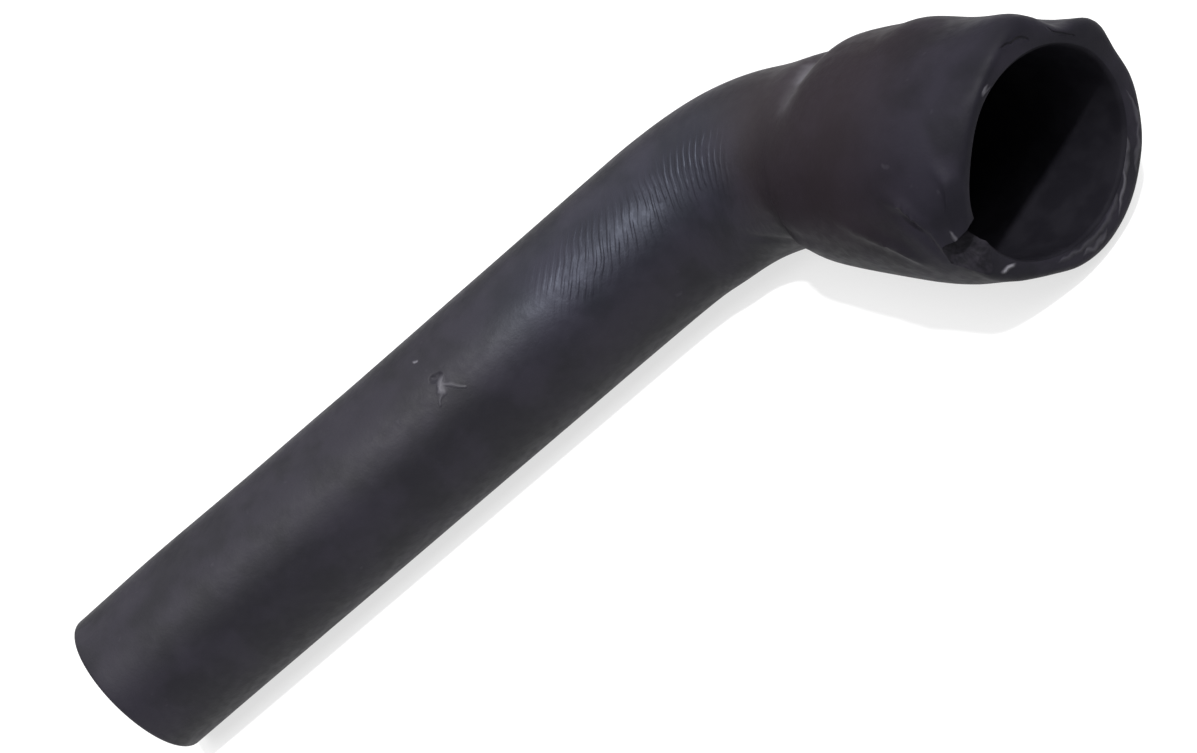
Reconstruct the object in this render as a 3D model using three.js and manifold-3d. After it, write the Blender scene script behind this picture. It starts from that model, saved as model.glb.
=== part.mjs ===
import * as THREE from 'three';
import { mergeVertices } from 'three/addons/utils/BufferGeometryUtils.js';
import Module from 'manifold-3d';

// Power steering hose: a black rubber elbow moulded in one piece, with a straight leg, a bend and a wider
// bell. It lies on the ground, z = 0. The leg runs along +X from its small end, the bell turns towards -Y,
// and the bell's lowest point touches the ground that the leg lies on.
// Lengths are millimetres and angles are degrees.

// Leg, the straight run that is pushed over the smaller pipe
const legLength = 124;
const legBore = 22;
const legWall = 4;

// Bend, measured on the centreline
const bendRadius = 33;
const bendAngle = 64.5;

// Bell, which begins a little before the bend ends, opens fast at first and then slowly
const bellLead = 5.4;
const bellFlareLength = 25;
const bellFlareSharpness = 2.2;
const bellBore = 31.4;
const bellWall = 3.6;

// Crease round the neck, where the bell begins
const neckCreaseDepth = 0.5;
const neckCreaseWidth = 5;

// Mouth, where the bell is drawn in a little, measured along the bell's axis from the end of the bend
const mouthReach = 39.5;
const mouthBore = 29.4;
const mouthWall = 4;

// Both ends were trimmed a little askew, shorter on the side that the hose bends towards
const smallEndSkew = 6;
const mouthSkew = 8;
const skewFade = 10;

// Rounded edges of the two end faces
const smallEndOuterRound = 0.8;
const smallEndInnerRound = 0.5;
const mouthOuterRound = 1.5;
const mouthInnerRound = 0.6;

// Lumps and hollows of the soft wall round the mouth: where each is round the bell, how far back from the
// mouth, how far it moves the outside and the bore outwards, and how wide it is
const wallLumps = [
  { around: 50, back: 1, outside: -0.9, bore: -0.2, width: 9 },
  { around: 110, back: 1, outside: 0.8, bore: 0.2, width: 6 },
  { around: -168, back: 1, outside: -0.9, bore: 0, width: 4 },
  { around: -150, back: 1, outside: 0.5, bore: 0, width: 4 },
  { around: -136, back: 1, outside: -0.6, bore: 0.2, width: 4 },
  { around: -120, back: 7, outside: 0.4, bore: 0, width: 5 },
  { around: -45, back: 1, outside: 0.2, bore: -0.9, width: 8 },
  { around: 30, back: 18, outside: -0.3, bore: 0, width: 9 },
];

// Nick torn out of the mouth's edge: its floor's line across the wall, from one side of the nick to the
// other, each point by its angle round the mouth and its depth, at the bore and at the outside
const nickFloor = [
  { boreAround: -13, outsideAround: -9, boreDepth: 0, outsideDepth: 0 },
  { boreAround: -8, outsideAround: -4, boreDepth: 3.3, outsideDepth: 4.8 },
  { boreAround: -1, outsideAround: 5, boreDepth: 1.9, outsideDepth: 5 },
  { boreAround: 5, outsideAround: 12, boreDepth: 0.5, outsideDepth: 1.6 },
  { boreAround: 8, outsideAround: 24, boreDepth: 0, outsideDepth: 0 },
];
const nickClearance = 1.5;

// Fineness of the surface
const sides = 48;
const legRings = 5;
const bendStep = 5.5;
const flareRings = 10;
const flareRingSpread = 1.5;
const bellRings = 4;
const roundSteps = 3;

const legRadius = legBore / 2 + legWall;
const bendEnd = legLength + bendRadius * THREE.MathUtils.degToRad(bendAngle);
const bellStart = bendEnd - bellLead;
const bellFull = bellStart + bellFlareLength;
const mouthStation = bendEnd + mouthReach;

// Share of the way from one station to another, from 0 to 1
function share(station, from, to) {
  return THREE.MathUtils.clamp((station - from) / (to - from), 0, 1);
}

// A size that goes from the leg's value to the bell's over the flare, and on to the mouth's
function alongHose(station, legSize, bellSize, mouthSize) {
  const opened = 1 - (1 - share(station, bellStart, bellFull)) ** bellFlareSharpness;
  const drawnIn = share(station, bellFull, mouthStation) ** 2;
  return legSize + (bellSize - legSize) * opened + (mouthSize - bellSize) * drawnIn;
}

function boreRadius(station) {
  return alongHose(station, legBore, bellBore, mouthBore) / 2;
}

function outerRadius(station) {
  const crease = neckCreaseDepth * Math.exp(-(((station - bellStart) / neckCreaseWidth) ** 2));
  return boreRadius(station) + alongHose(station, legWall, bellWall, mouthWall) - crease;
}

// Stations of the rings between the two ends, close together where the wall bends or opens, and closest
// where the flare begins
function ringStations() {
  const stations = [];
  for (let ring = 1; ring <= legRings; ring += 1) {
    stations.push((legLength * ring) / legRings);
  }
  const bendRings = Math.ceil(bendAngle / bendStep);
  for (let ring = 1; ring < bendRings; ring += 1) {
    stations.push(legLength + ((bellStart - legLength) * ring) / bendRings);
  }
  for (let ring = 0; ring <= flareRings; ring += 1) {
    stations.push(bellStart + bellFlareLength * (ring / flareRings) ** flareRingSpread);
  }
  for (let ring = 1; ring < bellRings; ring += 1) {
    stations.push(bellFull + ((mouthStation - bellFull) * ring) / bellRings);
  }
  return stations;
}

// Quarter circle of the profile, from one angle to the next, about a centre
function roundedEdge(radius, station, round, fromDegrees) {
  const points = [];
  for (let step = 0; step <= roundSteps; step += 1) {
    const angle = THREE.MathUtils.degToRad(fromDegrees + (90 * step) / roundSteps);
    points.push(new THREE.Vector2(radius + round * Math.cos(angle), station + round * Math.sin(angle)));
  }
  return points;
}

// Closed section of the wall before it is bent: x is the radius and y is the station along the hose
function wallProfile() {
  const stations = ringStations();
  const smallOuter = legRadius - smallEndOuterRound;
  const smallInner = legBore / 2 + smallEndInnerRound;
  const mouthOuter = outerRadius(mouthStation) - mouthOuterRound;
  const mouthInner = boreRadius(mouthStation) + mouthInnerRound;
  const profile = [
    ...roundedEdge(smallOuter, smallEndOuterRound, smallEndOuterRound, -90),
    ...stations.map((station) => new THREE.Vector2(outerRadius(station), station)),
    ...roundedEdge(mouthOuter, mouthStation - mouthOuterRound, mouthOuterRound, 0),
    ...roundedEdge(mouthInner, mouthStation - mouthInnerRound, mouthInnerRound, 90),
    ...stations.reverse().map((station) => new THREE.Vector2(boreRadius(station), station)),
    ...roundedEdge(smallInner, smallEndInnerRound, smallEndInnerRound, 180),
  ];
  profile.push(profile[0].clone());
  return profile;
}

// How far the lumps move the wall outwards at a place, in mm
function lumpHeight(around, station, radius) {
  const wallShare = share(radius, boreRadius(station), outerRadius(station));
  let height = 0;
  for (const lump of wallLumps) {
    const turn = THREE.MathUtils.euclideanModulo(around - lump.around + 180, 360) - 180;
    const across = THREE.MathUtils.degToRad(turn) * outerRadius(station);
    const along = station - (mouthStation - lump.back);
    const move = THREE.MathUtils.lerp(lump.bore, lump.outside, wallShare);
    height += move * Math.exp(-(across ** 2 + along ** 2) / lump.width ** 2);
  }
  return height;
}

// Puts a point of the straight tube in its place on the bent hose. around is the angle from the side that
// the hose bends towards, counted about the way along it.
function place(around, station, radius) {
  const angle = THREE.MathUtils.degToRad(around);
  const wholeBend = THREE.MathUtils.degToRad(bendAngle);
  const smallSkew = Math.tan(THREE.MathUtils.degToRad(smallEndSkew));
  const farSkew = Math.tan(THREE.MathUtils.degToRad(mouthSkew));

  const swollen = radius + lumpHeight(around, station, radius);
  const skew = smallSkew * (1 - share(station, 0, skewFade))
    - farSkew * share(station, mouthStation - skewFade, mouthStation);
  const skewed = station + swollen * Math.cos(angle) * skew;

  const turned = THREE.MathUtils.clamp((skewed - legLength) / bendRadius, 0, wholeBend);
  const before = Math.min(skewed, legLength);
  const after = skewed - before - turned * bendRadius;
  const forward = new THREE.Vector3(Math.cos(turned), -Math.sin(turned), 0);
  const inward = new THREE.Vector3(-Math.sin(turned), -Math.cos(turned), 0);
  const centre = new THREE.Vector3(
    before + bendRadius * Math.sin(turned),
    -bendRadius * (1 - Math.cos(turned)),
    0,
  );
  return centre
    .addScaledVector(forward, after)
    .addScaledVector(inward, swollen * Math.cos(angle))
    .add(new THREE.Vector3(0, 0, -swollen * Math.sin(angle)));
}

// Replaces each vertex of a geometry by what a function makes of it
function mapVertices(geometry, move) {
  const positions = geometry.attributes.position;
  const point = new THREE.Vector3();
  for (let index = 0; index < positions.count; index += 1) {
    point.fromBufferAttribute(positions, index);
    positions.setXYZ(index, ...move(point).toArray());
  }
  return geometry;
}

// The whole wall, turned about the Y axis as a straight tube and then bent
function bentWall() {
  const straight = new THREE.LatheGeometry(wallProfile(), sides);
  return mapVertices(straight, (point) => {
    const around = THREE.MathUtils.radToDeg(Math.atan2(point.x, point.z));
    return place(around, point.y, Math.hypot(point.x, point.z));
  });
}

// What the nick takes away: a wedge that passes through the wall. In its outline x counts the points of the
// floor's line, y is minus the floor's depth at the outside and 1 beyond the mouth's face.
function nickCutter() {
  const outline = new THREE.Shape([
    ...nickFloor.map((point, index) => new THREE.Vector2(index, -point.outsideDepth)),
    new THREE.Vector2(nickFloor.length - 1, 1),
    new THREE.Vector2(0, 1),
  ]);
  const bore = mouthBore / 2;
  const depth = mouthWall + 2 * nickClearance;
  const cutter = new THREE.ExtrudeGeometry(outline, { depth, bevelEnabled: false });
  return mapVertices(cutter, (point) => {
    const radius = bore - nickClearance + point.z;
    const wallShare = (radius - bore) / mouthWall;
    const floor = nickFloor[Math.round(point.x)];
    const around = THREE.MathUtils.lerp(floor.boreAround, floor.outsideAround, wallShare);
    const floorDepth = THREE.MathUtils.lerp(floor.boreDepth, floor.outsideDepth, wallShare);
    return place(around, mouthStation + (point.y > 0 ? nickClearance : -floorDepth), radius);
  });
}

const wasm = await Module();
wasm.setup();

function solidOf(geometry) {
  const bare = geometry.clone();
  bare.deleteAttribute('normal');
  bare.deleteAttribute('uv');
  const merged = mergeVertices(bare);
  return new wasm.Manifold(new wasm.Mesh({
    numProp: 3,
    vertProperties: new Float32Array(merged.attributes.position.array),
    triVerts: new Uint32Array(merged.index.array),
  }));
}

function geometryOf(solid) {
  const mesh = solid.getMesh();
  const geometry = new THREE.BufferGeometry();
  geometry.setAttribute('position', new THREE.BufferAttribute(new Float32Array(mesh.vertProperties), 3));
  geometry.setIndex(new THREE.BufferAttribute(new Uint32Array(mesh.triVerts), 1));
  return geometry;
}

// Rolls the hose about the leg's axis until the bell touches the ground that the leg lies on, then sets it
// on z = 0 with the middle of its outline over the origin
function layDown(geometry) {
  const positions = geometry.attributes.position;
  const point = new THREE.Vector3();
  let roll = 0;
  for (let index = 0; index < positions.count; index += 1) {
    point.fromBufferAttribute(positions, index);
    const reach = Math.hypot(point.y, point.z);
    if (point.x > legLength && point.y < -legRadius) {
      roll = Math.max(roll, -Math.asin(legRadius / reach) - Math.atan2(point.z, -point.y));
    }
  }
  geometry.rotateX(-roll);
  geometry.computeBoundingBox();
  const box = geometry.boundingBox;
  geometry.translate(-(box.min.x + box.max.x) / 2, -(box.min.y + box.max.y) / 2, -box.min.z);
  return geometry;
}

const rubber = new THREE.MeshStandardMaterial({ color: 0x3a383d, roughness: 0.55, metalness: 0 });

const nickedWall = solidOf(bentWall()).subtract(solidOf(nickCutter()));

const hose = new THREE.Mesh(layDown(geometryOf(nickedWall)), rubber);
hose.name = 'hose';
hose.geometry.computeVertexNormals();

const group = new THREE.Group();
group.add(hose);

export default group;
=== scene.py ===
"""Blender scene of a moulded rubber power steering hose that lies on a pale floor.

The hose is one tube of black rubber: a straight leg, a bend and a wider bell with a torn, lumpy mouth. Its
wall is swept as a ring of edges along the outside, round the mouth and back down the bore, the nick is cut
out of the mouth, and the soft hollows and folds are then pressed into the surface. The wrap marks are only
a bump of the material.

Sizes are written in millimetres times MM, so every value is in metres.
"""

import logging
import math
from collections.abc import Sequence
from dataclasses import dataclass, field
from enum import Enum

import bpy
import numpy as np
from mathutils import Matrix, Vector, noise

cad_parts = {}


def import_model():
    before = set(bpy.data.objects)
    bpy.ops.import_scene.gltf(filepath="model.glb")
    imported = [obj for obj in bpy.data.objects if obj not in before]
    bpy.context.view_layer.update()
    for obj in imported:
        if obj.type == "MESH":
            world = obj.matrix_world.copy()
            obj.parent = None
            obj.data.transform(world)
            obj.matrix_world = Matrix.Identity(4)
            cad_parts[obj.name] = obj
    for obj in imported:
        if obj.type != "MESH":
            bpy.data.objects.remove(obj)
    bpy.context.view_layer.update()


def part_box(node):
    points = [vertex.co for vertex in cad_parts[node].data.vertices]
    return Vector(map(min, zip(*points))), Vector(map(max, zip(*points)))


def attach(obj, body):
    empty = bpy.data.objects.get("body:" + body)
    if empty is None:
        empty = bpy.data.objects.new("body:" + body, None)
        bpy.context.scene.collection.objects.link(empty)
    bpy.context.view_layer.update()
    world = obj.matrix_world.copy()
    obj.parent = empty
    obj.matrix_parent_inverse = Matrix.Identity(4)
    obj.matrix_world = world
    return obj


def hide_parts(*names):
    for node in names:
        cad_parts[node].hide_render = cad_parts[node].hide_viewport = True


MM = 0.001
PHOTO_WIDTH = 1197
PHOTO_FOCAL = 1550
SAME = 1e-9

Tree = bpy.types.NodeTree
Ends = tuple[float, float, float, float]

log = logging.getLogger("hose")


class Zone(Enum):
    """Parts of the hose's surface that have a finish of their own, by material slot."""

    SKIN = 0
    BORE = 1
    TEAR = 2


def share(value: np.ndarray, start: float, end: float) -> np.ndarray:
    """Returns how far a value has gone from start to end, from 0 to 1."""
    return np.clip((value - start) / (end - start), 0, 1)


def turn_between(around: np.ndarray, other: float) -> np.ndarray:
    """Returns the signed angle from other to around, from minus to plus half a turn, in radians."""
    return (around - other + math.pi) % (2 * math.pi) - math.pi


@dataclass(frozen=True)
class HosePath:
    """Centreline of the hose: a leg along +X, a bend towards -Y and the bell's straight run.

    A place on the hose is given by its angle around the centreline, from the side that the hose bends
    towards, its station along the centreline and its radius.
    """

    start: Vector
    leg_length: float = 124 * MM
    bend_radius: float = 33 * MM
    bend_angle: float = math.radians(64.5)
    mouth_reach: float = 39.5 * MM

    @property
    def bend_end(self) -> float:
        """Station at which the bend ends."""
        return self.leg_length + self.bend_radius * self.bend_angle

    @property
    def mouth(self) -> float:
        """Station of the mouth's face."""
        return self.bend_end + self.mouth_reach

    @property
    def bend_centre(self) -> Vector:
        """Point that the bend turns about."""
        return self.start + Vector((self.leg_length, -self.bend_radius, 0))

    def centre(self, station: float) -> Vector:
        """Returns the point of the centreline at a station."""
        return Vector(self.place(np.zeros(1), np.full(1, station), np.zeros(1))[0])

    def place(self, around: np.ndarray, station: np.ndarray, radius: np.ndarray) -> np.ndarray:
        """Puts places on the hose in space.

        Args:
            around: angles about the centreline, in radians.
            station: stations along the centreline.
            radius: distances from the centreline.

        Returns:
            One point in a row for each place.
        """
        turned = np.clip((station - self.leg_length) / self.bend_radius, 0, self.bend_angle)
        before = np.minimum(station, self.leg_length)
        after = station - before - turned * self.bend_radius
        level = np.zeros_like(turned)
        forward = np.stack([np.cos(turned), -np.sin(turned), level], -1)
        inward = np.stack([-np.sin(turned), -np.cos(turned), level], -1)
        over = before + self.bend_radius * np.sin(turned)
        aside = -self.bend_radius * (1 - np.cos(turned))
        centre = np.stack([over, aside, level], -1)
        reach = (radius * np.cos(around))[:, None]
        side = np.stack([level, level, -radius * np.sin(around)], -1)
        return np.array(self.start) + centre + forward * after[:, None] + inward * reach + side

    def straighten(self, points: np.ndarray) -> tuple[np.ndarray, np.ndarray, np.ndarray]:
        """Finds where points in space lie on the hose.

        Args:
            points: one point in a row.

        Returns:
            Their angles around the centreline, their stations and their radii.
        """
        local = points - np.array(self.start)
        outward = local[:, :2] - np.array([self.leg_length, -self.bend_radius])
        turned = np.clip(np.arctan2(outward[:, 0], outward[:, 1]), 0, self.bend_angle)
        turned = np.where(local[:, 0] <= self.leg_length, 0, turned)
        along = outward[:, 0] * np.cos(turned) - outward[:, 1] * np.sin(turned)
        toward = self.bend_radius - outward[:, 0] * np.sin(turned) - outward[:, 1] * np.cos(turned)
        station = self.leg_length + turned * self.bend_radius + along
        around = np.arctan2(-local[:, 2], toward)
        return around, station, np.hypot(toward, local[:, 2])


@dataclass(frozen=True)
class HoseWall:
    """Bore and wall of the hose along its centreline, and the rounding of its two ends."""

    path: HosePath
    leg_bore: float = 22 * MM
    leg_wall: float = 4 * MM
    bell_lead: float = 5.4 * MM
    bell_flare_length: float = 25 * MM
    bell_flare_sharpness: float = 2.2
    bell_fillet: float = 0.2
    bell_bore: float = 31.4 * MM
    bell_wall: float = 3.6 * MM
    crease_depth: float = 0.5 * MM
    crease_width: float = 5 * MM
    mouth_bore: float = 29.4 * MM
    mouth_wall: float = 4 * MM
    small_end_outer_round: float = 0.8 * MM
    small_end_inner_round: float = 0.5 * MM
    mouth_outer_round: float = 1.5 * MM
    mouth_inner_round: float = 0.6 * MM

    @property
    def bell_start(self) -> float:
        """Station at which the bell begins to open."""
        return self.path.bend_end - self.bell_lead

    @property
    def bell_full(self) -> float:
        """Station at which the bell has its full size."""
        return self.bell_start + self.bell_flare_length

    def along(self, station: np.ndarray, leg: float, bell: float, mouth: float) -> np.ndarray:
        """Returns a size that goes from the leg's value to the bell's over the flare, then to the mouth's.

        Args:
            station: stations along the centreline.
            leg: the size on the leg.
            bell: the size where the bell is full.
            mouth: the size at the mouth.

        Returns:
            The size at each station. The flare begins with a fillet and not with a kink.
        """
        opening = (station - self.bell_start) / self.bell_flare_length
        eased = np.clip(opening + self.bell_fillet, 0, None) ** 2 / (4 * self.bell_fillet)
        opening = np.clip(np.where(opening > self.bell_fillet, opening, eased), 0, 1)
        opened = 1 - (1 - opening) ** self.bell_flare_sharpness
        drawn_in = share(station, self.bell_full, self.path.mouth) ** 2
        return leg + (bell - leg) * opened + (mouth - bell) * drawn_in

    def bore_radius(self, station: np.ndarray) -> np.ndarray:
        """Returns the radius of the bore at stations."""
        return self.along(station, self.leg_bore, self.bell_bore, self.mouth_bore) / 2

    def outer_radius(self, station: np.ndarray) -> np.ndarray:
        """Returns the radius of the outside at stations."""
        wall = self.along(station, self.leg_wall, self.bell_wall, self.mouth_wall)
        crease = self.crease_depth * np.exp(-(((station - self.bell_start) / self.crease_width) ** 2))
        return self.bore_radius(station) + wall - crease


@dataclass(frozen=True)
class Lump:
    """Soft lump or hollow of the wall, which fades out as a bell curve."""

    around: float
    station: float
    outside: float
    bore: float
    width: float
    length: float

    def height(self, hose: "HoseSurface") -> np.ndarray:
        """Returns how far each vertex moves away from the centreline."""
        across = turn_between(hose.around, self.around) * hose.outer
        fade = np.exp(-((across / self.width) ** 2) - ((hose.station - self.station) / self.length) ** 2)
        return (self.bore + (self.outside - self.bore) * hose.wall_share) * fade


@dataclass(frozen=True)
class Fold:
    """Low ridge or groove of the skin along a bent line.

    Each point of the line is an angle in degrees and a station in mm. The fold is highest in its middle.
    """

    points: tuple[tuple[float, float], ...]
    height: float
    width: float
    end_share: float = 0.08
    skin_power: int = 4

    def height_on(self, hose: "HoseSurface") -> np.ndarray:
        """Returns how far each vertex moves away from the centreline."""
        radius = float(hose.wall.outer_radius(np.array(self.points[0][1] * MM)))
        line = np.array([(math.radians(around) * radius, station * MM) for around, station in self.points])
        places = np.stack([hose.around * radius, hose.station], -1)
        nearest = np.full(len(places), np.inf)
        along = np.zeros(len(places))
        for index, (first, last) in enumerate(zip(line[:-1], line[1:])):
            run = last - first
            part = np.clip((places - first) @ run / (run @ run), 0, 1)
            away = np.linalg.norm(places - first - part[:, None] * run, axis=1)
            along = np.where(away < nearest, (index + part) / (len(line) - 1), along)
            nearest = np.minimum(nearest, away)
        taper = np.sin(math.pi * (self.end_share + (1 - 2 * self.end_share) * along))
        across = np.exp(-((nearest / self.width) ** 2))
        return self.height * taper * across * hose.wall_share**self.skin_power


class HoseSurface:
    """Vertices of the hose's mesh as places on the hose, while they are pressed into shape."""

    def __init__(self, piece: bpy.types.Object, wall: HoseWall) -> None:
        """Reads a piece's vertices and finds where they lie on the hose.

        Args:
            piece: the mesh object of the nominal hose.
            wall: its wall and path.
        """
        self.piece = piece
        self.wall = wall
        self.path = wall.path
        points = np.empty(len(piece.data.vertices) * 3)
        piece.data.vertices.foreach_get("co", points)
        self.around, self.station, self.radius = self.path.straighten(points.reshape(-1, 3))
        self.outer = wall.outer_radius(self.station)
        self.bore = wall.bore_radius(self.station)
        self.wall_share = np.clip((self.radius - self.bore) / (self.outer - self.bore), 0, 1)
        side, rise = self.radius * np.cos(self.around), self.radius * np.sin(self.around)
        self.straight = np.stack([side, rise, self.unrolled_station()], -1)

    def unrolled_station(self) -> np.ndarray:
        """Returns how far each vertex is along the surface, up the skin, over the mouth and down the bore."""
        across = self.outer - self.radius
        at_small_end = self.station < 1 * MM
        up_skin = np.where(at_small_end, self.station - across, self.station + across)
        down_bore = 2 * self.path.mouth - self.station + across
        nearer_skin = self.wall_share > 0.5
        return np.where(nearer_skin, up_skin, down_bore)

    def wander(self, size: float) -> np.ndarray:
        """Returns smooth noise from about -1 to 1 over the straight hose, which changes over a size."""
        return np.array([noise.noise(Vector(point) / size) for point in self.straight])

    def write(self) -> None:
        """Puts the moved vertices back in the mesh, and keeps where each was on the straight hose."""
        mesh = self.piece.data
        points = self.path.place(self.around, self.station, self.radius)
        mesh.vertices.foreach_set("co", points.ravel())
        straight = mesh.attributes.new("straight", "FLOAT_VECTOR", "POINT")
        straight.data.foreach_set("vector", self.straight.astype(np.float32).ravel())
        mesh.update()


def deselect_all() -> None:
    """Leaves edit mode and deselects every object."""
    if bpy.context.object and bpy.context.object.mode != "OBJECT":
        bpy.ops.object.mode_set(mode="OBJECT")
    bpy.ops.object.select_all(action="DESELECT")


class RingSweep:
    """A ring of edges that is extruded along the hose, in edit mode, one ring after another."""

    def __init__(self, path: HosePath, sides: int, station: float, radius: float) -> None:
        """Adds the first ring, at a station of the leg.

        Args:
            path: centreline to follow.
            sides: vertices of the ring.
            station: where the ring starts.
            radius: its radius there.
        """
        self.path = path
        self.station = station
        self.radius = radius
        bpy.ops.mesh.primitive_circle_add(
            vertices=sides,
            radius=radius,
            fill_type="NOTHING",
            location=path.centre(station),
            rotation=(0, math.pi / 2, 0),
        )
        bpy.ops.object.transform_apply(location=True, rotation=True, scale=True)
        bpy.ops.object.mode_set(mode="EDIT")

    def go(self, station: float, radius: float) -> None:
        """Extrudes the ring to another station of the same stretch, and sizes it.

        Args:
            station: where the ring goes.
            radius: its radius there.
        """
        path = self.path
        low, high = sorted((self.station, station))
        if low >= path.leg_length - SAME and high <= path.bend_end + SAME and high > low:
            bpy.ops.mesh.spin(
                steps=1,
                angle=(station - self.station) / path.bend_radius,
                center=path.bend_centre,
                axis=(0, 0, 1),
            )
        else:
            step = path.centre(station) - path.centre(self.station)
            bpy.ops.mesh.extrude_edges_move(TRANSFORM_OT_translate={"value": step})
        if abs(radius - self.radius) > SAME:
            size = radius / self.radius
            bpy.ops.transform.resize(value=(size, size, size), center_override=path.centre(station))
        self.station = station
        self.radius = radius


@dataclass(frozen=True)
class NickPoint:
    """Point of the nick's floor, across the wall: its angles in degrees and its depths in mm."""

    bore_around: float
    outside_around: float
    bore_depth: float
    outside_depth: float


@dataclass(frozen=True)
class Nick:
    """Piece torn out of the mouth's edge, by its floor's line from one side to the other."""

    floor: tuple[NickPoint, ...] = (
        NickPoint(-13, -9, -0.3, -0.3),
        NickPoint(-8, -4, 3.3, 4.8),
        NickPoint(-1, 5, 1.9, 5),
        NickPoint(5, 12, 0.5, 1.6),
        NickPoint(8, 24, -0.3, -0.3),
    )
    clearance: float = 1.5 * MM
    cuts: int = 27
    roughness: float = 0.32 * MM
    grain: float = 1.3 * MM

    def across_wall(self, place: float, through: float, at_bore: str, at_outside: str) -> float:
        """Finds a value of the floor's line between the bore and the outside.

        Args:
            place: how far along the line, counted in its points.
            through: how far through the wall, 0 at the bore and 1 at the outside.
            at_bore: name of the value at the bore.
            at_outside: name of the value at the outside.

        Returns:
            The value there.
        """
        steps = range(len(self.floor))
        inner = np.interp(place, steps, [getattr(point, at_bore) for point in self.floor])
        outer = np.interp(place, steps, [getattr(point, at_outside) for point in self.floor])
        return float(inner + (outer - inner) * through)

    def torn(self, point: Vector) -> Vector:
        """Returns how far the torn surface strays from its even form at a point, in coarse and fine grain."""
        coarse = noise.noise_vector(point / self.grain)
        fine = noise.noise_vector(point / self.grain * 3)
        return (coarse + fine / 2) * self.roughness

    def cutter(self, wall: HoseWall) -> bpy.types.Object:
        """Models what the nick takes away, as a cube shaped into an uneven, torn wedge.

        Args:
            wall: wall that it is torn out of.

        Returns:
            The cutter's object.
        """
        path = wall.path
        bpy.ops.mesh.primitive_cube_add(size=2)
        cutter = bpy.context.object
        cutter.name = "nick_cutter"
        bpy.ops.object.mode_set(mode="EDIT")
        bpy.ops.mesh.subdivide(number_cuts=self.cuts)
        bpy.ops.object.mode_set(mode="OBJECT")
        bore = wall.mouth_bore / 2
        for vertex in cutter.data.vertices:
            across, along, out = vertex.co
            radius = bore + wall.mouth_wall / 2 + out * (wall.mouth_wall / 2 + self.clearance)
            through = (radius - bore) / wall.mouth_wall
            place = (across + 1) / 2 * (len(self.floor) - 1)
            around = math.radians(self.across_wall(place, through, "bore_around", "outside_around"))
            depth = self.across_wall(place, through, "bore_depth", "outside_depth") * MM
            deep = (1 - along) / 2
            station = path.mouth + self.clearance - deep * (depth + self.clearance)
            point = Vector(path.place(np.full(1, around), np.full(1, station), np.full(1, radius))[0])
            vertex.co = point + self.torn(point) * deep * min(1, max(0, depth / MM))
        return cutter


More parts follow.
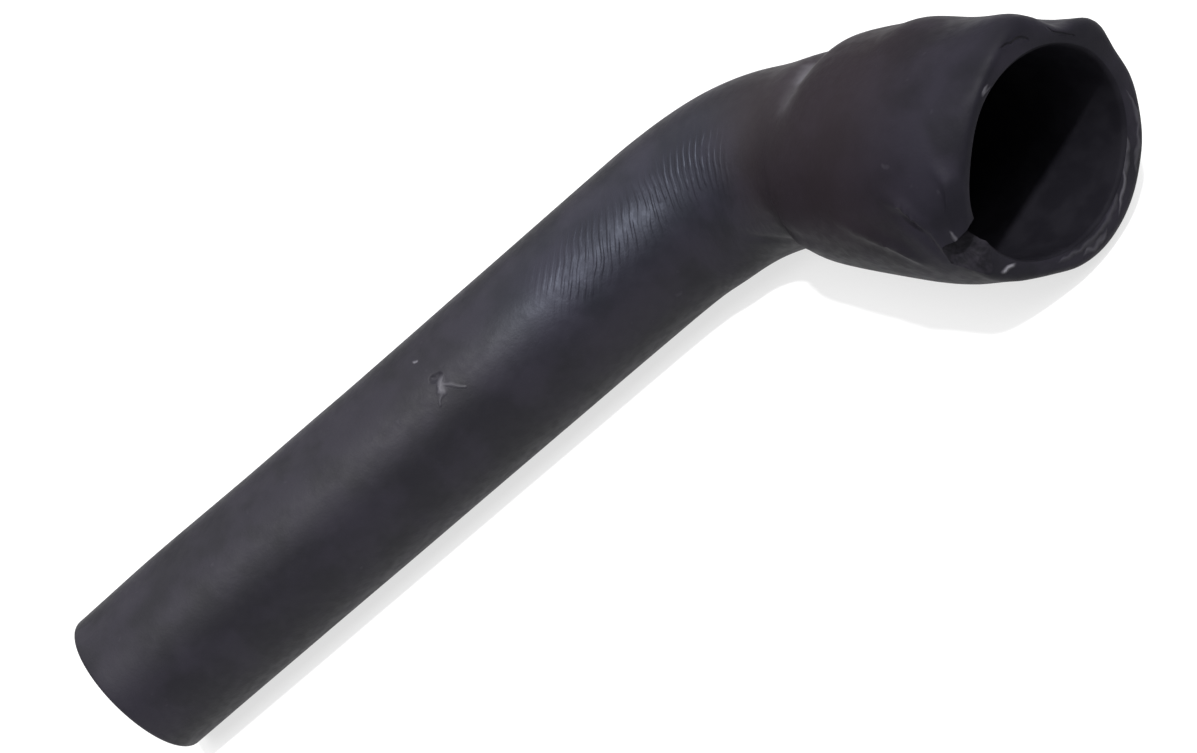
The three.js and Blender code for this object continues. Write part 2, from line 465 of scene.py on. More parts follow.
@dataclass
class Hose:
    """The moulded hose, from its trimmed small end to its torn mouth."""

    wall: HoseWall
    nick: Nick = field(default_factory=Nick)
    sides: int = 128
    plain_step: float = 2 * MM
    neck_start: float = 124 * MM
    neck_end: float = 170 * MM
    neck_step: float = 0.7 * MM
    bell_step: float = 0.5 * MM
    bore_step: float = 0.8 * MM
    deep_bore_step: float = 4 * MM
    deep_bore: float = 18 * MM
    round_steps: int = 5
    small_end_skew: float = math.radians(6)
    mouth_skew: float = math.radians(8)
    skew_fade: float = 10 * MM
    lip_taper: float = 3.3 * MM
    lip_length: float = 12 * MM
    lip_length_power: float = 1.7
    lip_around: float = math.radians(-48)
    lip_narrowing: float = 1.45
    lip_side_power: float = 1.5
    unevenness: float = 0.08 * MM
    unevenness_size: float = 14 * MM
    rim_unevenness: float = 0.25 * MM
    rim_unevenness_size: float = 4.5 * MM
    smooth_angle: float = math.radians(38)

    def build(self) -> bpy.types.Object:
        """Models the hose and lays it on the floor.

        Returns:
            The finished mesh object.
        """
        hose = self.sweep()
        self.tear(hose)
        self.press(hose)
        self.lay_down(hose)
        return hose

    def run(self, sweep: RingSweep, to: float, step: float, outside: bool) -> None:
        """Sweeps the ring to a station in even steps that end at each stretch of the path.

        Args:
            sweep: the ring.
            to: station to reach.
            step: about how far apart the rings are.
            outside: True on the outside of the wall, False in the bore.
        """
        path = self.wall.path
        low, high = sorted((sweep.station, to))
        stops = [stop for stop in (path.leg_length, path.bend_end) if low < stop < high]
        if to < sweep.station:
            stops.reverse()
        for stop in [*stops, to]:
            count = max(1, round(abs(stop - sweep.station) / step))
            start = sweep.station
            for ring in range(1, count + 1):
                station = start + (stop - start) * ring / count
                size = self.wall.outer_radius if outside else self.wall.bore_radius
                sweep.go(station, float(size(np.array(station))))

    def round_edge(self, sweep: RingSweep, radius: float, station: float, size: float, first: float) -> None:
        """Sweeps the ring round a quarter circle of the wall's section.

        Args:
            sweep: the ring.
            radius: radius at which the quarter circle's centre lies.
            station: station of its centre.
            size: its own radius.
            first: angle at which it begins, from the outward direction towards the mouth.
        """
        for step in range(1, self.round_steps + 1):
            angle = first + math.pi / 2 * step / self.round_steps
            sweep.go(station + size * math.sin(angle), radius + size * math.cos(angle))

    def sweep(self) -> bpy.types.Object:
        """Sweeps the whole wall: along the outside, round the mouth, down the bore and round the small end.

        Returns:
            The hose's mesh object, before the nick and the lumps.
        """
        wall, path = self.wall, self.wall.path
        quarter = math.pi / 2
        deselect_all()
        outer = float(wall.outer_radius(np.array(0.0))) - wall.small_end_outer_round
        sweep = RingSweep(path, self.sides, 0, outer)
        hose = bpy.context.object
        hose.name = "hose_rubber"
        self.round_edge(sweep, outer, wall.small_end_outer_round, wall.small_end_outer_round, -quarter)
        self.run(sweep, self.neck_start, self.plain_step, True)
        self.run(sweep, self.neck_end, self.neck_step, True)
        self.run(sweep, path.mouth - wall.mouth_outer_round, self.bell_step, True)

        outer_round, inner_round = wall.mouth_outer_round, wall.mouth_inner_round
        mouth_outer = float(wall.outer_radius(np.array(path.mouth))) - outer_round
        mouth_inner = wall.mouth_bore / 2 + inner_round
        self.round_edge(sweep, mouth_outer, path.mouth - outer_round, outer_round, 0)
        sweep.go(path.mouth, (mouth_outer + mouth_inner) / 2)
        sweep.go(path.mouth, mouth_inner)
        self.round_edge(sweep, mouth_inner, path.mouth - inner_round, inner_round, quarter)
        self.run(sweep, path.mouth - self.deep_bore, self.bore_step, False)
        self.run(sweep, wall.small_end_inner_round, self.deep_bore_step, False)
        inner = wall.leg_bore / 2 + wall.small_end_inner_round
        self.round_edge(sweep, inner, wall.small_end_inner_round, wall.small_end_inner_round, 2 * quarter)
        sweep.go(0, outer)

        bpy.ops.mesh.select_all(action="SELECT")
        bpy.ops.mesh.remove_doubles(threshold=0.01 * MM)
        bpy.ops.mesh.normals_make_consistent(inside=False)
        bpy.ops.object.mode_set(mode="OBJECT")
        return hose

    def tear(self, hose: bpy.types.Object) -> None:
        """Cuts the nick out of the mouth, and sorts the faces into skin, bore and tear."""
        for zone in Zone:
            hose.data.materials.append(bpy.data.materials.new(f"zone_{zone.name.lower()}"))
        self.sort_faces(hose)
        deselect_all()
        cutter = self.nick.cutter(self.wall)
        cutter.data.materials.append(hose.data.materials[Zone.TEAR.value])
        deselect_all()
        bpy.context.view_layer.objects.active = hose
        hose.select_set(True)
        bpy.ops.object.modifier_add(type="BOOLEAN")
        cut = hose.modifiers[-1]
        cut.operation = "DIFFERENCE"
        cut.solver = "EXACT"
        cut.material_mode = "TRANSFER"
        cut.object = cutter
        bpy.ops.object.modifier_apply(modifier=cut.name)
        bpy.data.objects.remove(cutter)

    def sort_faces(self, hose: bpy.types.Object) -> None:
        """Gives each face the material slot of the skin or of the bore."""
        surface = HoseSurface(hose, self.wall)
        inside = surface.radius < surface.bore + 0.5 * MM
        for face in hose.data.polygons:
            is_bore = all(inside[index] for index in face.vertices)
            face.material_index = (Zone.BORE if is_bore else Zone.SKIN).value

    def press(self, hose: bpy.types.Object) -> None:
        """Presses the soft forms of the real wall into the swept surface."""
        surface = HoseSurface(hose, self.wall)
        path = self.wall.path
        at_rim = share(surface.station, path.mouth - self.skew_fade, path.mouth) ** 2
        height = (surface.wander(self.unevenness_size) - 1) / 2 * self.unevenness
        height += (surface.wander(self.rim_unevenness_size) - 1) / 2 * self.rim_unevenness * at_rim
        height *= surface.wall_share
        for lump in self.lumps():
            height += lump.height(surface)
        for fold in self.folds():
            height += fold.height_on(surface)
        surface.radius += height - self.lip(surface)
        small = math.tan(self.small_end_skew) * (1 - share(surface.station, 0, self.skew_fade))
        far = math.tan(self.mouth_skew) * share(surface.station, path.mouth - self.skew_fade, path.mouth)
        surface.station = surface.station + surface.radius * np.cos(surface.around) * (small - far)
        surface.write()

    def lip(self, surface: HoseSurface) -> np.ndarray:
        """Returns how far the skin is drawn in towards the bore, where the mouth has no flat face."""
        mouth = self.wall.path.mouth
        turn = turn_between(surface.around, self.lip_around) * self.lip_narrowing
        side = np.clip(np.cos(turn), 0, 1) ** self.lip_side_power
        near = share(surface.station, mouth - self.lip_length, mouth) ** self.lip_length_power
        return self.lip_taper * side * near * surface.wall_share

    def lumps(self) -> Sequence[Lump]:
        """Returns the lumps and hollows of the soft wall."""
        mouth = self.wall.path.mouth

        def near_mouth(around: float, back: float, outside: float, bore: float, width: float) -> Lump:
            """Returns a round lump, with its place in degrees and in mm back from the mouth."""
            station, size = mouth - back * MM, width * MM
            return Lump(math.radians(around), station, outside * MM, bore * MM, size, size)

        def on_skin(around: float, station: float, outside: float, width: float, length: float) -> Lump:
            """Returns a lump of the outside, with its place in degrees and in mm."""
            return Lump(math.radians(around), station * MM, outside * MM, 0, width * MM, length * MM)

        return [
            near_mouth(50, 1, -1.2, -0.2, 9),
            near_mouth(110, 1, 1.3, 0.2, 6),
            near_mouth(85, 1, 1.1, 0.1, 6),
            near_mouth(138, 1, 0.7, 0, 6),
            near_mouth(-168, 1, -0.5, 0, 4),
            near_mouth(-158, 1, 1.4, 0, 4),
            near_mouth(-134, 1, -1.7, 0.2, 4.5),
            near_mouth(-120, 7, 0.3, 0, 5),
            near_mouth(-45, 1, 0.2, -0.9, 8),
            on_skin(-100, 142, 0.5, 14, 10),
            on_skin(-99, 162.3, -2, 9, 3.2),
            on_skin(30, 131, 1, 7, 8),
            on_skin(10, 163, 0.5, 10, 5),
            on_skin(-100, 18, 0.35, 12, 14),
            on_skin(-95, 75, -0.15, 12, 25),
            on_skin(-40, 156, 0.45, 15, 5),
            on_skin(-8, 156, 0.35, 10, 5),
            on_skin(35, 176, -0.5, 10, 9),
            on_skin(-114, 182, 0.9, 7, 4),
            on_skin(-117, 198, 1.3, 6, 4.5),
        ]

    def folds(self) -> Sequence[Fold]:
        """Returns the low folds of the bell, which run towards the nick."""
        return [
            Fold(((-29, 187), (-24.6, 190.9), (-17.8, 193.2), (-4.9, 195.5)), 0.75 * MM, 0.9 * MM),
            Fold(((-41.8, 196.6), (-34, 199), (-24.8, 199.4), (-13, 198.6)), 0.8 * MM, 0.8 * MM),
            Fold(((-14.7, 177.4), (-3.4, 186.9), (5.6, 189.5)), 0.7 * MM, 1 * MM),
            Fold(((-22, 189.5), (-12, 194), (-1, 194.6)), -0.6 * MM, 0.9 * MM),
            Fold(((14, 150), (9, 158), (6, 168)), 0.4 * MM, 1.1 * MM),
            Fold(((-9, 150), (-2, 158), (1, 166)), -0.35 * MM, 1.2 * MM),
            Fold(((2, 141), (12, 146), (22, 154)), -0.35 * MM, 1 * MM),
        ]

    def lay_down(self, hose: bpy.types.Object) -> None:
        """Rolls the hose about the leg's axis until the bell rests on the floor, and smooths its shading."""
        start = self.wall.path.start
        points = np.empty(len(hose.data.vertices) * 3)
        hose.data.vertices.foreach_get("co", points)
        local = points.reshape(-1, 3) - np.array(start)
        leg_radius = start.z
        bell = local[(local[:, 0] > self.wall.path.leg_length) & (local[:, 1] < -leg_radius)]
        reach = np.hypot(bell[:, 1], bell[:, 2])
        roll = float(np.max(-np.arcsin(leg_radius / reach) - np.arctan2(bell[:, 2], -bell[:, 1])))
        log.info("rolled %.2f degrees to rest", math.degrees(roll))
        turn = Matrix.Translation(start) @ Matrix.Rotation(-roll, 4, "X") @ Matrix.Translation(-start)
        hose.data.transform(turn)
        deselect_all()
        bpy.context.view_layer.objects.active = hose
        hose.select_set(True)
        bpy.ops.object.shade_smooth_by_angle(angle=self.smooth_angle)


def linear(colour: str) -> tuple[float, float, float, float]:
    """Turns an sRGB hex colour into the linear values that a shader takes."""
    parts = [int(colour[index : index + 2], 16) / 255 for index in (1, 3, 5)]
    return (*(part / 12.92 if part <= 0.04045 else ((part + 0.055) / 1.055) ** 2.4 for part in parts), 1.0)


def add_node(
    tree: Tree,
    kind: str,
    inputs: dict[str | int, object] | None = None,
    **settings: object,
) -> bpy.types.Node:
    """Adds a shader node.

    Args:
        tree: node tree that it goes in.
        kind: the node's type name.
        inputs: a value or an output socket for each input, by its name or number.
        settings: properties of the node.

    Returns:
        The new node.
    """
    node = tree.nodes.new(kind)
    for name, value in settings.items():
        setattr(node, name, value)
    for name, value in (inputs or {}).items():
        if isinstance(value, bpy.types.NodeSocket):
            tree.links.new(value, node.inputs[name])
        else:
            node.inputs[name].default_value = value
    return node


def new_material(name: str) -> tuple[bpy.types.Material, Tree]:
    """Makes an empty node material and returns it with its node tree."""
    material = bpy.data.materials.new(name)
    material.use_nodes = True
    material.node_tree.nodes.clear()
    return material, material.node_tree


def calculate(tree: Tree, operation: str, *values: object, clamped: bool = False) -> object:
    """Returns the output of a maths node on values or sockets."""
    node = add_node(tree, "ShaderNodeMath", dict(enumerate(values)), operation=operation, use_clamp=clamped)
    return node.outputs[0]


def calculate_vector(tree: Tree, operation: str, first: object, second: object) -> object:
    """Returns the output of a vector maths node on two values or sockets."""
    node = add_node(tree, "ShaderNodeVectorMath", {0: first, 1: second}, operation=operation)
    return node.outputs["Value" if operation in ("DOT_PRODUCT", "DISTANCE") else "Vector"]


def fade(tree: Tree, value: object, none: float, full: float, low: float = 0, high: float = 1) -> object:
    """Returns low where a value is at none and high where it is at full, smooth between them."""
    ends = {"Value": value, "From Min": none, "From Max": full, "To Min": low, "To Max": high}
    return add_node(tree, "ShaderNodeMapRange", ends, interpolation_type="SMOOTHSTEP").outputs["Result"]


def patchy(tree: Tree, place: object, size: float, detail: float = 3) -> object:
    """Returns a noise pattern whose patches are about a size across."""
    inputs = {"Vector": place, "Scale": 1 / size, "Detail": detail}
    return add_node(tree, "ShaderNodeTexNoise", inputs).outputs["Fac"]


def blend(tree: Tree, share_of_second: object, first: object, second: object) -> object:
    """Returns a mix of two colours."""
    node = add_node(tree, "ShaderNodeMix", {0: share_of_second, 6: first, 7: second}, data_type="RGBA")
    return node.outputs[2]


def bump(tree: Tree, height: object) -> object:
    """Returns the normal of a surface raised by a height in metres."""
    inputs = {"Height": height, "Strength": 1.0, "Distance": 1.0}
    return add_node(tree, "ShaderNodeBump", inputs).outputs["Normal"]


@dataclass(frozen=True)
class Mark:
    """Small mark of the skin, or a painted highlight streak, along a straight line, from one place to
    another, in degrees and mm.
    """

    start: tuple[float, float]
    end: tuple[float, float]
    width: float
    height: float
    paleness: float
    radius: float = 15 * MM

    def on(self, tree: Tree, unrolled: object) -> object:
        """Returns a socket that is 1 on the mark and 0 away from it."""
        first = Vector((math.radians(self.start[0]) * self.radius, self.start[1] * MM, 0))
        last = Vector((math.radians(self.end[0]) * self.radius, self.end[1] * MM, 0))
        run = last - first
        from_first = calculate_vector(tree, "SUBTRACT", unrolled, first)
        part = calculate_vector(tree, "DOT_PRODUCT", from_first, run / run.length_squared)
        part = calculate(tree, "MULTIPLY", part, 1.0, clamped=True)
        parts = add_node(tree, "ShaderNodeCombineXYZ", {0: part, 1: part, 2: part}).outputs[0]
        nearest = calculate_vector(tree, "MULTIPLY", parts, run)
        away = calculate_vector(tree, "DISTANCE", from_first, nearest)
        return fade(tree, away, self.width, 0)


class Skin:
    """Shader sockets that say where a point of the hose's surface is on the straight, unrolled hose."""

    def __init__(self, tree: Tree) -> None:
        """Reads the surface's own coordinates in a material's node tree."""
        self.place = add_node(tree, "ShaderNodeAttribute", attribute_name="straight").outputs["Vector"]
        parts = add_node(tree, "ShaderNodeSeparateXYZ", {0: self.place}).outputs
        self.station = parts[2]
        self.around = calculate(tree, "ARCTAN2", parts[1], parts[0])
        flat = calculate_vector(tree, "MULTIPLY", self.place, (1, 1, 0))
        radius = calculate_vector(tree, "DISTANCE", flat, (0, 0, 0))
        self.arc = calculate(tree, "MULTIPLY", self.around, radius)
        self.unrolled = add_node(tree, "ShaderNodeCombineXYZ", {0: self.arc, 1: self.station}).outputs[0]

    def wobbly(self, tree: Tree, size: float, reach: float) -> object:
        """Returns the unrolled place, moved to and fro by noise.

        Args:
            tree: the material's node tree.
            size: size of the noise's patches.
            reach: most that it can move from side to side.

        Returns:
            The moved place's socket.
        """
        inputs = {"Vector": self.place, "Scale": 1 / size, "Detail": 1.0}
        patches = add_node(tree, "ShaderNodeTexNoise", inputs).outputs["Color"]
        centred = calculate_vector(tree, "SUBTRACT", patches, (0.5, 0.5, 0.5))
        moved = calculate_vector(tree, "MULTIPLY", centred, (reach, reach, 0))
        return calculate_vector(tree, "ADD", self.unrolled, moved)

    def window(self, tree: Tree, around: Ends, station: Ends) -> object:
        """Returns a socket that is 1 in a patch of the surface.

        Args:
            tree: the material's node tree.
            around: angles at which the patch begins, is full, is still full and ends, in degrees.
            station: the same of the stations, in mm.

        Returns:
            The socket, which fades smoothly to 0 outside the patch.
        """
        inside = 1.0
        for socket, scale, ends in ((self.around, math.radians(1), around), (self.station, MM, station)):
            begins = fade(tree, socket, ends[0] * scale, ends[1] * scale)
            stays = fade(tree, socket, ends[3] * scale, ends[2] * scale)
            inside = calculate(tree, "MULTIPLY", inside, calculate(tree, "MULTIPLY", begins, stays))
        return inside


@dataclass(frozen=True)
class MouldedRubber:
    """Moulded synthetic rubber, cured in a wrap of wet cloth tape.

    The tape leaves fine slanting ridges where it was pulled tight by the bend, and the satin skin is bluish
    black, a little shinier there and duller on the bell, brownish at the neck, and dusty from handling. Pale
    marks add scratches, flecks and pale streaks on the rim, and also painted highlights: a soft glow on the
    neck's crease, a streak on the lip and a glint on the torn flap by the nick.
    """

    name: str = "moulded_rubber"
    dark: str = "#18171d"
    light: str = "#211f27"
    brown: str = "#261f22"
    brown_share: float = 0.6
    dust: str = "#55535a"
    dust_share: float = 0.15
    pale: str = "#b3b1ba"
    bluish_sheen: str = "#dfe8ff"
    roughness: float = 0.53
    wrapped_roughness: float = 0.46
    ior: float = 1.5
    specular: float = 0.2
    wrapped_shine: float = 1.3
    bell_shine: float = 0.35
    mottle: float = 9 * MM
    speckle: float = 1.7 * MM
    # the real grain is finer, and is drawn at this size so that it shows
    grain: float = 0.45 * MM
    grain_depth: float = 0.02 * MM
    dent_depth: float = 0.032 * MM
    ridge_spacing: float = 1.6 * MM
    ridge_depth: float = 0.08 * MM
    ridge_middle: float = math.radians(50) * 15 * MM
    ridge_unevenness: float = 1.3 * MM
    wobble: float = 1.6 * MM
    wobble_size: float = 2.2 * MM
    marks: tuple[Mark, ...] = (
        Mark((-54.5, 79.0), (-53.0, 79.9), 1.0 * MM, -0.35 * MM, 0),
        Mark((-50.5, 80.1), (-44, 78.9), 0.9 * MM, 0.2 * MM, 0.13),
        Mark((-46, 80.2), (-35, 82.6), 0.5 * MM, 0.08 * MM, 0.06),
        Mark((-46, 78.9), (-38, 77.5), 0.5 * MM, 0.08 * MM, 0.05),
        Mark((-74.6, 78.0), (-74.0, 78.4), 0.5 * MM, 0.06 * MM, 0.2),
        # painted highlight: two flat pale streaks give the soft glow along the crease at the top of the neck
        Mark((-101, 161.4), (-92, 161.8), 2.8 * MM, 0, 0.1, 17 * MM),
        Mark((-90, 161.8), (-76, 163), 4.5 * MM, 0, 0.04, 17 * MM),
        # partly a low raised line and partly a painted highlight: a pale streak on the round of the lip
        Mark((-80.5, 202.6), (-76, 203.2), 0.6 * MM, 0.12 * MM, 0.14, 17 * MM),
        Mark((-110, 202.4), (-105, 201.6), 0.7 * MM, -0.3 * MM, 0, 17 * MM),
        Mark((-138, 202.4), (-131, 202.2), 0.7 * MM, -0.3 * MM, 0, 17 * MM),
        Mark((110, 204), (126, 204.2), 0.7 * MM, 0.15 * MM, 0.08, 17 * MM),
        Mark((60, 203.2), (100, 203.7), 0.7 * MM, 0.12 * MM, 0.05, 17 * MM),
        Mark((78, 202.5), (92, 202.3), 0.6 * MM, 0.1 * MM, 0.08, 17 * MM),
        Mark((111, 202.9), (118, 203.6), 0.6 * MM, 0.1 * MM, 0.15, 16 * MM),
        Mark((128, 202.2), (158, 202.5), 0.6 * MM, 0.06 * MM, 0.07, 17 * MM),
        # partly a low raised line and partly a painted glint: a bright pale fleck on the torn flap beside the
        # nick
        Mark((25, 202.2), (27, 203.2), 0.8 * MM, 0.2 * MM, 0.4, 17 * MM),
        Mark((-10.5, 198.6), (-8, 199), 0.6 * MM, 0.1 * MM, 0.14, 18 * MM),
    )

    def ridges(self, tree: Tree, skin: Skin) -> object:
        """Makes the tape's ridges.

        They slant by 1 mm for each mm round the leg, and less towards the bend. They are strong on its
        upper side, weaker below it, and broken up in patches.

        Args:
            tree: the material's node tree.
            skin: the surface's coordinates.

        Returns:
            Their height, from 0 to 1.
        """
        slant = fade(tree, skin.station, 100 * MM, 134 * MM, 1.0, 0.36)
        arc = calculate(tree, "ADD", skin.arc, self.ridge_middle)
        along = calculate(tree, "ADD", skin.station, calculate(tree, "MULTIPLY", arc, slant))
        uneven = calculate(tree, "MULTIPLY", patchy(tree, skin.place, 5 * MM, 1), self.ridge_unevenness)
        along = calculate(tree, "ADD", along, uneven)
        wave = calculate(tree, "SINE", calculate(tree, "MULTIPLY", along, 2 * math.pi / self.ridge_spacing))
        raised = fade(tree, wave, -0.4, 1)
        strong = skin.window(tree, (-80, -62, -42, -22), (98, 110, 143, 150))
        lower = skin.window(tree, (-34, -20, 2, 14), (120, 132, 146, 154))
        both = calculate(tree, "ADD", strong, calculate(tree, "MULTIPLY", lower, 0.45))
        broken = fade(tree, patchy(tree, skin.place, 3 * MM, 1), 0.35, 0.6, 0.35, 1)
        return calculate(tree, "MULTIPLY", raised, calculate(tree, "MULTIPLY", both, broken))

    def colour(self, tree: Tree, skin: Skin, mottle: object, speckle: object) -> object:
        """Mixes the skin's colour.

        Args:
            tree: the material's node tree.
            skin: the surface's coordinates.
            mottle: the broad pattern.
            speckle: the fine pattern.

        Returns:
            Mottled black, brownish at the neck, with specks of dust.
        """
        neck = skin.window(tree, (-150, -110, -20, 20), (138, 156, 176, 196))
        colour = blend(tree, fade(tree, mottle, 0.35, 0.65), linear(self.dark), linear(self.light))
        colour = blend(tree, calculate(tree, "MULTIPLY", neck, self.brown_share), colour, linear(self.brown))
        dusty = calculate(tree, "MULTIPLY", fade(tree, speckle, 0.7, 0.85), fade(tree, mottle, 0.4, 0.6))
        return blend(tree, calculate(tree, "MULTIPLY", dusty, self.dust_share), colour, linear(self.dust))

    def height(self, tree: Tree, skin: Skin, speckle: object) -> object:
        """Adds up the tape's ridges, the grain and the small dents.

        Args:
            tree: the material's node tree.
            skin: the surface's coordinates.
            speckle: the dents' pattern.

        Returns:
            Their height in metres.
        """
        height = calculate(tree, "MULTIPLY", self.ridges(tree, skin), self.ridge_depth)
        grain = calculate(tree, "MULTIPLY", patchy(tree, skin.place, self.grain, 1), self.grain_depth)
        height = calculate(tree, "ADD", height, grain)
        return calculate(tree, "ADD", height, calculate(tree, "MULTIPLY", speckle, self.dent_depth))

    def build(self) -> bpy.types.Material:
        """Makes the material."""
        material, tree = new_material(self.name)
        skin = Skin(tree)
        mottle = patchy(tree, skin.place, self.mottle, 3)
        speckle = patchy(tree, skin.place, self.speckle, 1)
        colour = self.colour(tree, skin, mottle, speckle)
        height = self.height(tree, skin, speckle)
        wobbly = skin.wobbly(tree, self.wobble_size, self.wobble)
        for mark in self.marks:
            there = mark.on(tree, wobbly)
            height = calculate(tree, "ADD", height, calculate(tree, "MULTIPLY", there, mark.height))
            # pale marks lighten the colour: scratches, flecks and rim streaks, and the painted highlights on
            # the neck's crease, the lip and the torn flap
            if mark.paleness:
                paler = calculate(tree, "MULTIPLY", there, mark.paleness)
                colour = blend(tree, paler, colour, linear(self.pale))

        wrapped = skin.window(tree, (-110, -80, -30, 0), (78, 108, 140, 156))
        rough = fade(tree, speckle, 0.3, 0.7, self.roughness - 0.03, self.roughness + 0.05)
        smoother = calculate(tree, "MULTIPLY", wrapped, self.wrapped_roughness - self.roughness)
        shine = fade(tree, wrapped, 0, 1, self.specular, self.specular * self.wrapped_shine)
        duller = fade(tree, skin.station, 150 * MM, 172 * MM, 1, self.bell_shine)
        inputs = {
            "Base Color": colour,
            "Roughness": calculate(tree, "ADD", rough, smoother),
            "IOR": self.ior,
            "Specular IOR Level": calculate(tree, "MULTIPLY", shine, duller),
            "Specular Tint": blend(tree, wrapped, (1, 1, 1, 1), linear(self.bluish_sheen)),
            "Normal": bump(tree, height),
        }
        shader = add_node(tree, "ShaderNodeBsdfPrincipled", inputs)
        add_node(tree, "ShaderNodeOutputMaterial", {"Surface": shader.outputs["BSDF"]})
        return material


@dataclass(frozen=True)
class BareRubber:
    """Rubber without its moulded skin: the smooth wall of the bore, or the rough grain of a tear."""

    name: str
    dark: str
    light: str
    grain: float
    grain_depth: float
    specular: float
    roughness: float = 0.7
    ior: float = 1.5

    def build(self) -> bpy.types.Material:
        """Makes the material."""
        material, tree = new_material(self.name)
        place = add_node(tree, "ShaderNodeAttribute", attribute_name="straight").outputs["Vector"]
        grain = patchy(tree, place, self.grain)
        inputs = {
            "Base Color": blend(tree, fade(tree, grain, 0.35, 0.65), linear(self.dark), linear(self.light)),
            "Roughness": self.roughness,
            "IOR": self.ior,
            "Specular IOR Level": self.specular,
            "Normal": bump(tree, calculate(tree, "MULTIPLY", grain, self.grain_depth)),
        }
        shader = add_node(tree, "ShaderNodeBsdfPrincipled", inputs)
        add_node(tree, "ShaderNodeOutputMaterial", {"Surface": shader.outputs["BSDF"]})
        return material


@dataclass(frozen=True)
class PaleFloor:
    """Matt white paper, which the camera sees as white and which keeps the hose's shadow."""

    name: str = "white_paper"
    colour: str = "#969696"
    lift: float = 0.7

    def build(self) -> bpy.types.Material:
        """Makes the material."""
        material, tree = new_material(self.name)
        paper = add_node(tree, "ShaderNodeBsdfDiffuse", {"Color": linear(self.colour)}).outputs[0]
        rays = add_node(tree, "ShaderNodeLightPath").outputs
        seen = calculate(tree, "MAXIMUM", rays["Is Camera Ray"], rays["Is Glossy Ray"])
        seen = calculate(tree, "MAXIMUM", seen, rays["Is Transmission Ray"])
        strength = calculate(tree, "MULTIPLY", seen, self.lift)
        glow = add_node(tree, "ShaderNodeEmission", {"Strength": strength}).outputs[0]
        both = add_node(tree, "ShaderNodeAddShader", {0: paper, 1: glow}).outputs[0]
        add_node(tree, "ShaderNodeOutputMaterial", {"Surface": both})
        return material


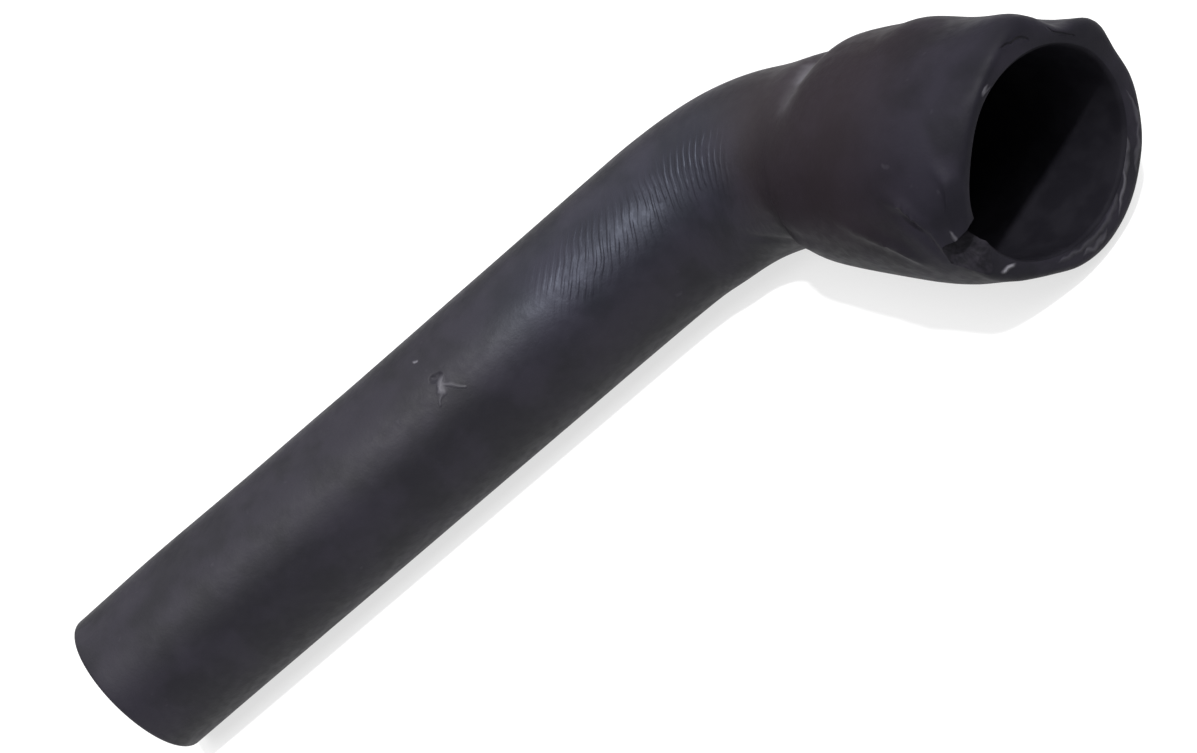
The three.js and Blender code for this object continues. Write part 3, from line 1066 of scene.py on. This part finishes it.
@dataclass
class Studio:
    """Floor, lights and camera."""

    floor_half: float = 3.0
    lamp_side: tuple[float, float, float] = (0.11, -0.31, 0.95)
    lamp_angle: float = math.radians(3)
    lamp_level: float = 1.0
    softbox_target: tuple[float, float, float] = (0, 0, 20 * MM)
    softbox_distance: float = 0.9
    softboxes: tuple[tuple[str, float, tuple[float, float], float], ...] = (
        ("front_softbox", 68, (1.8, 0.45), 3.0),
        ("back_softbox", 125, (1.8, 1.0), 1.2),
    )
    room_level: float = 0.28
    camera_place: tuple[float, float, float] = (32.77 * MM, -190.58 * MM, 173.97 * MM)
    camera_target: tuple[float, float, float] = (6.79 * MM, 5.80 * MM, 13.37 * MM)
    camera_roll: float = math.radians(-45.24)
    sensor: float = 36.0
    clip_start: float = 5 * MM

    def floor(self) -> None:
        """Lays the floor."""
        deselect_all()
        bpy.ops.mesh.primitive_plane_add(size=2 * self.floor_half, location=(0, 0, 0))
        floor = bpy.context.object
        floor.name = "floor"
        floor.data.materials.append(PaleFloor().build())

    def softbox(self, name: str, elevation: float, size: tuple[float, float], level: float) -> None:
        """Hangs a rectangular light that faces the hose, in the plane across the leg.

        Args:
            name: the light's name.
            elevation: how far it is turned up from the front, in degrees.
            size: its two sides.
            level: its radiance, where 1 is as bright as a white surface in full light.
        """
        target = Vector(self.softbox_target)
        turn = math.radians(elevation)
        place = target + Vector((0, -math.cos(turn), math.sin(turn))) * self.softbox_distance
        lamp = bpy.data.lights.new(name, "AREA")
        lamp.shape = "RECTANGLE"
        lamp.size, lamp.size_y = size
        lamp.energy = level * math.pi * size[0] * size[1]
        light = bpy.data.objects.new(name, lamp)
        light.location = place
        light.rotation_euler = (target - place).to_track_quat("-Z", "Y").to_euler()
        bpy.context.scene.collection.objects.link(light)

    def lights(self) -> None:
        """Hangs the lamp and the softboxes, and sets the room's own light."""
        lamp = bpy.data.lights.new("lamp", "SUN")
        lamp.energy = self.lamp_level * math.pi
        lamp.angle = self.lamp_angle
        light = bpy.data.objects.new("lamp", lamp)
        light.rotation_euler = Vector(self.lamp_side).to_track_quat("Z", "Y").to_euler()
        bpy.context.scene.collection.objects.link(light)

        for softbox in self.softboxes:
            self.softbox(*softbox)

        world = bpy.data.worlds.new("room")
        world.use_nodes = True
        bpy.context.scene.world = world
        tree = world.node_tree
        tree.nodes.clear()
        rays = add_node(tree, "ShaderNodeLightPath").outputs
        seen = {"Value": rays["Is Camera Ray"], "To Min": self.room_level, "To Max": 1.0}
        strength = add_node(tree, "ShaderNodeMapRange", seen).outputs["Result"]
        room = add_node(tree, "ShaderNodeBackground", {"Color": (1, 1, 1, 1), "Strength": strength})
        add_node(tree, "ShaderNodeOutputWorld", {"Surface": room.outputs[0]})

    def camera(self) -> None:
        """Sets up the camera where the photograph was taken from."""
        data = bpy.data.cameras.new("camera")
        data.sensor_width = self.sensor
        data.lens = PHOTO_FOCAL / PHOTO_WIDTH * self.sensor
        data.clip_start = self.clip_start
        camera = bpy.data.objects.new("camera", data)
        place, target = Vector(self.camera_place), Vector(self.camera_target)
        look = (target - place).to_track_quat("-Z", "Y").to_matrix().to_4x4()
        camera.matrix_world = Matrix.Translation(place) @ look @ Matrix.Rotation(self.camera_roll, 4, "Z")
        bpy.context.scene.collection.objects.link(camera)
        bpy.context.scene.camera = camera

    def build(self) -> None:
        """Builds the whole studio."""
        self.floor()
        self.lights()
        self.camera()
        bpy.context.scene.view_settings.view_transform = "Standard"


def main() -> None:
    """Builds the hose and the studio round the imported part."""
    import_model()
    node_low, node_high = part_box("hose")

    leg_radius = HoseWall.leg_bore / 2 + HoseWall.leg_wall
    overhang = (leg_radius - HoseWall.small_end_outer_round) * math.tan(Hose.small_end_skew)
    start = Vector((node_low.x + overhang, node_high.y - leg_radius, leg_radius))
    wall = HoseWall(HosePath(start))

    hose = Hose(wall).build()
    finishes = {
        Zone.SKIN: MouldedRubber(),
        Zone.BORE: BareRubber("bore_rubber", "#17161b", "#1d1c21", 4 * MM, 0.02 * MM, 0.04),
        Zone.TEAR: BareRubber("torn_rubber", "#121116", "#1f1d23", 1.1 * MM, 0.09 * MM, 0.12),
    }
    for zone, finish in finishes.items():
        hose.data.materials[zone.value] = finish.build()
    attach(hose, "root")
    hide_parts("hose")
    log.info("%s: %d faces", hose.name, len(hose.data.polygons))

    Studio().build()


if __name__ == "__main__":
    logging.basicConfig(level=logging.INFO)
    main()
